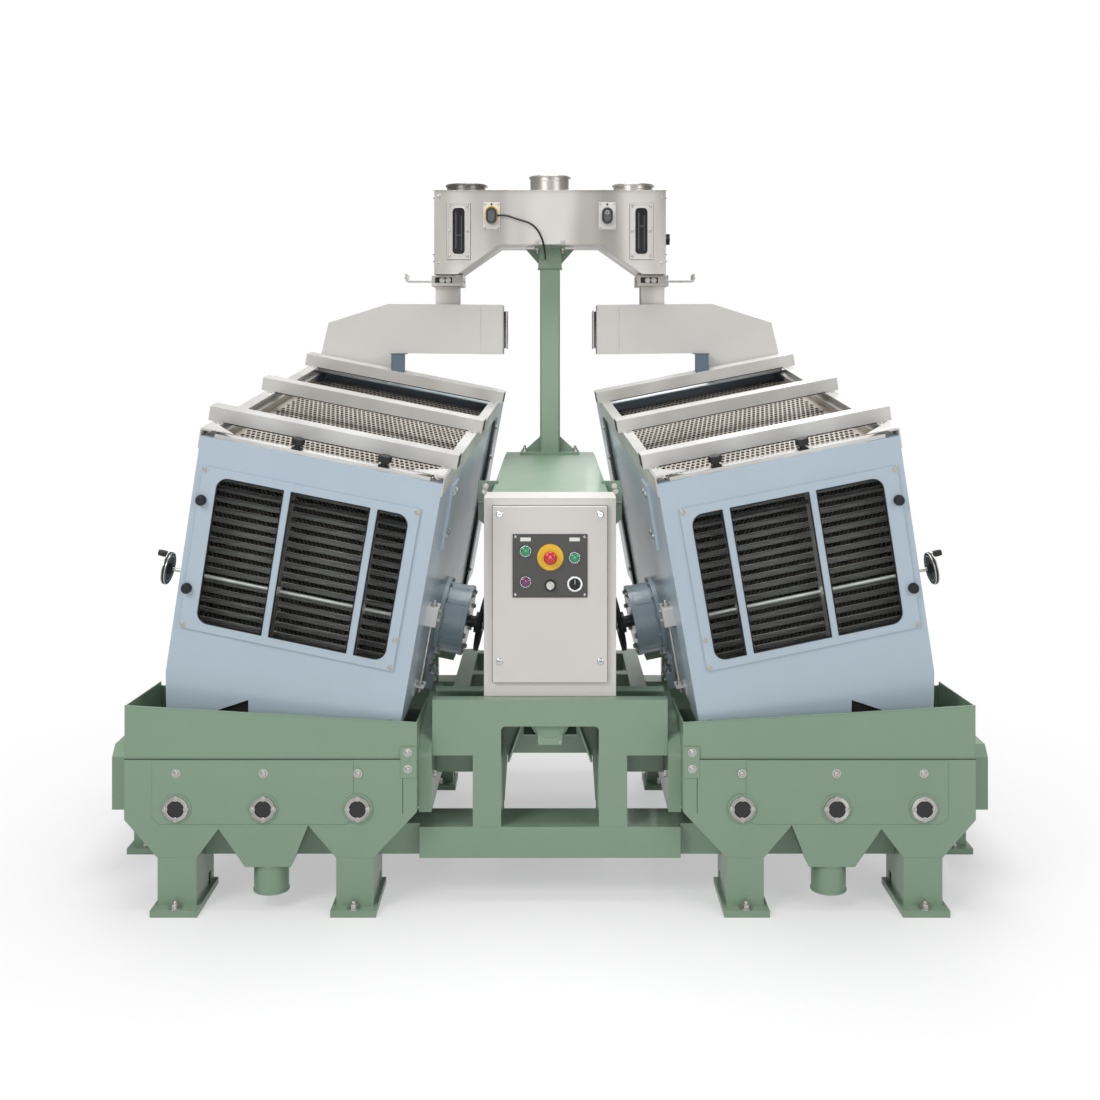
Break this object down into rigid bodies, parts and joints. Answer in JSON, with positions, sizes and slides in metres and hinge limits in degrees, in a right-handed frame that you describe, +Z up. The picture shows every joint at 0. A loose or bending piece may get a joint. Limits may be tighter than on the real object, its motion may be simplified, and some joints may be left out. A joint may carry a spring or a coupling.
{
  "type": "paddy separator",
  "caption": "Twin-deck paddy separator: leaning rocking tray decks, central control cabinet, overhead feeder bridge and windowed outlet hoppers.",
  "frame": {"origin": "centre of the machine's footprint on the floor", "axes": "+X to the machine's right seen from the front, +Y to the rear, +Z up"},
  "size_m": [2.876, 1.703, 2.411],
  "materials": {
    "black_plastic": "moulded black plastic",
    "brushed_alloy": "brushed aluminium",
    "cable_skin": "black cable sheath",
    "cast_drum": "painted casting",
    "chrome_ring": "polished ring",
    "clear_pane": "clear sheet",
    "green_plastic": "glossy green plastic",
    "painted_cabinet": "fine-textured light grey powder coat",
    "painted_dark": "satin dark grey paint",
    "painted_deck": "semi-gloss pale blue-grey paint",
    "painted_frame": "semi-gloss sage green paint",
    "painted_hood": "satin warm light grey paint",
    "red_plastic": "glossy red plastic",
    "stainless": "brushed stainless steel",
    "tray_sheet": "dimpled steel sheet, slightly tanned",
    "violet_plastic": "glossy purple-red plastic",
    "white_plastic": "glossy white plastic",
    "zinc_steel": "zinc plated steel"
  },
  "bodies": {
    "frame": {"front_frame": "painted_frame", "base_beams": "painted_frame", "cheeks": "painted_frame", "legs": "painted_frame", "frame_bolts": "zinc_steel", "left_hopper": "painted_frame", "right_hopper": "painted_frame", "hopper_covers": "painted_frame", "sight_glass_rings": "stainless", "sight_glass_lenses": "clear_pane", "bed_frames": "painted_frame", "drive_motor": "painted_frame", "pedestal": "painted_frame", "cabinet_body": "painted_cabinet", "mast": "painted_frame", "feeder_casing": "stainless", "feeder_windows": "clear_pane", "inlet_spigots": "stainless", "level_sensors": "black_plastic", "sensor_cable": "cable_skin"},
    "left_deck": {"left_deck_casing": "painted_deck", "left_window_cover": "painted_deck", "left_window_pane": "clear_pane", "left_trays": "tray_sheet", "left_top_frame": "brushed_alloy", "left_deck_knobs": "black_plastic", "left_inlet_hood": "painted_hood", "left_drive_drum": "cast_drum", "left_side_fittings": "painted_deck"},
    "left_front_rocker_body": {"left_front_rocker": "painted_dark"},
    "left_rear_rocker_body": {"left_rear_rocker": "painted_dark"},
    "left_drive_shaft_body": {"left_drive_shaft": "painted_dark"},
    "left_spindle_body": {"left_spindle": "zinc_steel"},
    "left_dividers_body": {"left_dividers": "stainless"},
    "left_slide_gate_body": {"left_slide_gate": "stainless"},
    "right_deck": {"right_deck_casing": "painted_deck", "right_window_cover": "painted_deck", "right_window_pane": "clear_pane", "right_trays": "tray_sheet", "right_top_frame": "brushed_alloy", "right_deck_knobs": "black_plastic", "right_inlet_hood": "painted_hood", "right_drive_drum": "cast_drum", "right_side_fittings": "painted_deck"},
    "right_front_rocker_body": {"right_front_rocker": "painted_dark"},
    "right_rear_rocker_body": {"right_rear_rocker": "painted_dark"},
    "right_drive_shaft_body": {"right_drive_shaft": "painted_dark"},
    "right_spindle_body": {"right_spindle": "zinc_steel"},
    "right_dividers_body": {"right_dividers": "stainless"},
    "right_slide_gate_body": {"right_slide_gate": "stainless"},
    "star_knob_body": {"star_knob": "black_plastic"},
    "door": {"cabinet_door": "painted_cabinet", "control_panel": "painted_dark", "door_fittings": "chrome_ring"},
    "start_button_body": {"start_button": "green_plastic"},
    "feed_button_body": {"feed_button": "green_plastic"},
    "stop_button_body": {"stop_button": "violet_plastic"},
    "stop_mushroom_body": {"stop_mushroom": "red_plastic"},
    "key_switch_body": {"key_switch": "white_plastic"},
    "rotary_switch_body": {"rotary_switch": "black_plastic"}
  },
  "joints": [
    {"name": "left_front_rocker_swing", "type": "hinge", "parent": "frame", "child": "left_front_rocker_body", "pos_m": [-0.81331, -0.2234, 0.55143], "axis": [0.9798, -0.0599, -0.1908], "range_deg": [-6, 6], "stiffness_Nm_per_rad": 12000, "springref_deg": 0.37},
    {"name": "left_deck_rock", "type": "hinge", "parent": "left_front_rocker_body", "child": "left_deck", "pos_m": [-0.7954, -0.20574, 0.63785], "axis": [0.9798, -0.0599, -0.1908], "range_deg": [-6, 6]},
    {"name": "left_rear_rocker_swing", "type": "hinge", "parent": "frame", "child": "left_rear_rocker_body", "pos_m": [-0.74896, 0.50684, 0.65253], "axis": [0.9798, -0.0599, -0.1908], "range_deg": [-6, 6]},
    {"name": "left_shaft_spin", "type": "hinge", "parent": "left_deck", "child": "left_drive_shaft_body", "pos_m": [-0.33773, -0.12342, 0.77668], "axis": [0.9798, -0.0599, -0.1908], "continuous": true},
    {"name": "left_spindle_turn", "type": "hinge", "parent": "left_deck", "child": "left_spindle_body", "pos_m": [-0.76432, -0.69786, 0.95199], "axis": [0.9798, -0.0599, -0.1908], "range_deg": [-1800, 1800]},
    {"name": "left_divider_shift", "type": "slide", "parent": "left_deck", "child": "left_dividers_body", "axis": [0.9798, -0.0599, -0.1908], "range_m": [-0.0301, 0.0301]},
    {"name": "left_slide_gate_travel", "type": "slide", "parent": "frame", "child": "left_slide_gate_body", "axis": [1, 0, 0], "range_m": [0, 0.09]},
    {"name": "right_front_rocker_swing", "type": "hinge", "parent": "frame", "child": "right_front_rocker_body", "pos_m": [0.81331, -0.2234, 0.55143], "axis": [0.9798, 0.0599, 0.1908], "range_deg": [-6, 6], "stiffness_Nm_per_rad": 12000, "springref_deg": 0.37},
    {"name": "right_deck_rock", "type": "hinge", "parent": "right_front_rocker_body", "child": "right_deck", "pos_m": [0.7954, -0.20574, 0.63785], "axis": [0.9798, 0.0599, 0.1908], "range_deg": [-6, 6]},
    {"name": "right_rear_rocker_swing", "type": "hinge", "parent": "frame", "child": "right_rear_rocker_body", "pos_m": [0.74896, 0.50684, 0.65253], "axis": [0.9798, 0.0599, 0.1908], "range_deg": [-6, 6]},
    {"name": "right_shaft_spin", "type": "hinge", "parent": "right_deck", "child": "right_drive_shaft_body", "pos_m": [0.33773, -0.12342, 0.77668], "axis": [0.9798, 0.0599, 0.1908], "continuous": true},
    {"name": "right_spindle_turn", "type": "hinge", "parent": "right_deck", "child": "right_spindle_body", "pos_m": [0.76432, -0.69786, 0.95199], "axis": [0.9798, 0.0599, 0.1908], "range_deg": [-1800, 1800]},
    {"name": "right_divider_shift", "type": "slide", "parent": "right_deck", "child": "right_dividers_body", "axis": [0.9798, 0.0599, 0.1908], "range_m": [-0.0301, 0.0301]},
    {"name": "right_slide_gate_travel", "type": "slide", "parent": "frame", "child": "right_slide_gate_body", "axis": [-1, 0, 0], "range_m": [0, 0.09]},
    {"name": "star_knob_turn", "type": "hinge", "parent": "frame", "child": "star_knob_body", "pos_m": [0.468, 0.61705, 2.16], "axis": [1, 0, 0], "range_deg": [-360, 360]},
    {"name": "door_swing", "type": "hinge", "parent": "frame", "child": "door", "pos_m": [-0.181, -0.63495, 0.949], "axis": [0, 0, -1], "range_deg": [0, 90]},
    {"name": "start_button_press", "type": "slide", "parent": "door", "child": "start_button_body", "axis": [0, 1, 0], "range_m": [0, 0.004], "stiffness_N_per_m": 500},
    {"name": "feed_button_press", "type": "slide", "parent": "door", "child": "feed_button_body", "axis": [0, 1, 0], "range_m": [0, 0.004], "stiffness_N_per_m": 500},
    {"name": "stop_button_press", "type": "slide", "parent": "door", "child": "stop_button_body", "axis": [0, 1, 0], "range_m": [0, 0.004], "stiffness_N_per_m": 500},
    {"name": "stop_mushroom_press", "type": "slide", "parent": "door", "child": "stop_mushroom_body", "axis": [0, 1, 0], "range_m": [0, 0.005], "stiffness_N_per_m": 500},
    {"name": "key_switch_turn", "type": "hinge", "parent": "door", "child": "key_switch_body", "pos_m": [0.001, -0.65045, 0.978], "axis": [0, 1, 0], "range_deg": [0, 90]},
    {"name": "rotary_switch_turn", "type": "hinge", "parent": "door", "child": "rotary_switch_body", "pos_m": [0.0777, -0.65045, 0.9825], "axis": [0, 1, 0], "range_deg": [-45, 45]}
  ],
  "couplings": [
    {"joint": "left_deck_rock", "follows": "left_front_rocker_swing", "ratio": -1},
    {"joint": "left_rear_rocker_swing", "follows": "left_front_rocker_swing", "ratio": 1},
    {"joint": "left_divider_shift", "follows": "left_spindle_turn", "m_per_rad": 0.00095493},
    {"joint": "right_deck_rock", "follows": "right_front_rocker_swing", "ratio": -1},
    {"joint": "right_rear_rocker_swing", "follows": "right_front_rocker_swing", "ratio": 1},
    {"joint": "right_divider_shift", "follows": "right_spindle_turn", "m_per_rad": 0.00095493}
  ]
}
